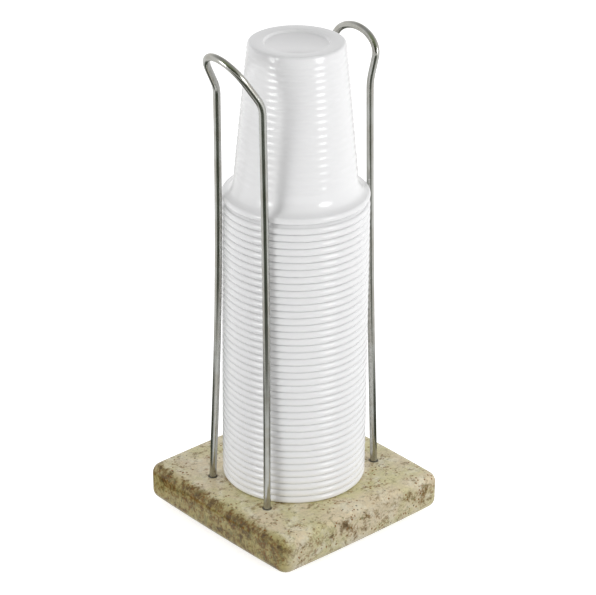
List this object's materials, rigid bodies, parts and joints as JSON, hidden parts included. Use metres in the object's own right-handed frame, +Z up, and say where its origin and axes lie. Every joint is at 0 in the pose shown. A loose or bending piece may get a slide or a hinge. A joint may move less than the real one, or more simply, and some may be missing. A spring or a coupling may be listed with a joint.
{
  "type": "cup dispenser",
  "caption": "Countertop cup dispenser: a square polished stone base with bent wire arches that hold a tall stack of nested, upturned plastic cups.",
  "frame": {"origin": "on the surface that the dispenser stands on, under the axis of the cup stack and the middle of the base", "axes": "+Z up along the stack; the arches stand at -X (left) and +X (right), and the two legs of each stand apart along Y; the picture looks from -X, -Y and above"},
  "size_m": [0.1016, 0.1016, 0.2428],
  "materials": {
    "stone": "polished beige granite with tan, ochre and dark speckles",
    "steel_wire": "bright drawn round wire",
    "adhesive": "cured dark adhesive",
    "pad_rubber": "soft clear-grey bumper",
    "cup_plastic": "thin translucent white, with fine moulded ribs"
  },
  "bodies": {
    "stand": {"stone_base": "stone", "wire_arch_left": "steel_wire", "wire_arch_right": "steel_wire", "adhesive_sleeve_front_left": "adhesive", "adhesive_sleeve_front_right": "adhesive", "adhesive_sleeve_back_left": "adhesive", "adhesive_sleeve_back_right": "adhesive", "pad_front_left": "pad_rubber", "pad_front_right": "pad_rubber", "pad_back_left": "pad_rubber", "pad_back_right": "pad_rubber"},
    "stack": {"cup_04": "cup_plastic", "cup_05": "cup_plastic", "cup_06": "cup_plastic", "cup_07": "cup_plastic", "cup_08": "cup_plastic", "cup_09": "cup_plastic", "cup_10": "cup_plastic", "cup_11": "cup_plastic", "cup_12": "cup_plastic", "cup_13": "cup_plastic", "cup_14": "cup_plastic", "cup_15": "cup_plastic", "cup_16": "cup_plastic", "cup_17": "cup_plastic", "cup_18": "cup_plastic", "cup_19": "cup_plastic", "cup_20": "cup_plastic", "cup_21": "cup_plastic", "cup_22": "cup_plastic", "cup_23": "cup_plastic", "cup_24": "cup_plastic", "cup_25": "cup_plastic", "cup_26": "cup_plastic", "cup_27": "cup_plastic", "cup_28": "cup_plastic", "cup_29": "cup_plastic", "cup_30": "cup_plastic", "cup_31": "cup_plastic", "cup_32": "cup_plastic", "cup_33": "cup_plastic", "cup_34": "cup_plastic", "cup_35": "cup_plastic", "cup_36": "cup_plastic", "cup_37": "cup_plastic", "cup_38": "cup_plastic", "cup_39": "cup_plastic", "cup_40": "cup_plastic", "cup_41": "cup_plastic", "cup_42": "cup_plastic"},
    "third_cup": {"cup_03": "cup_plastic"},
    "second_cup": {"cup_02": "cup_plastic"},
    "top_cup": {"cup_01": "cup_plastic"}
  },
  "joints": [
    {"name": "stack_lift", "type": "slide", "parent": "stand", "child": "stack", "axis": [0, 0, 1], "range_m": [0, 0.23]},
    {"name": "third_cup_lift", "type": "slide", "parent": "stack", "child": "third_cup", "axis": [0, 0, 1], "range_m": [0, 0.092]},
    {"name": "second_cup_lift", "type": "slide", "parent": "third_cup", "child": "second_cup", "axis": [0, 0, 1], "range_m": [0, 0.09]},
    {"name": "top_cup_lift", "type": "slide", "parent": "second_cup", "child": "top_cup", "axis": [0, 0, 1], "range_m": [0, 0.085]}
  ]
}
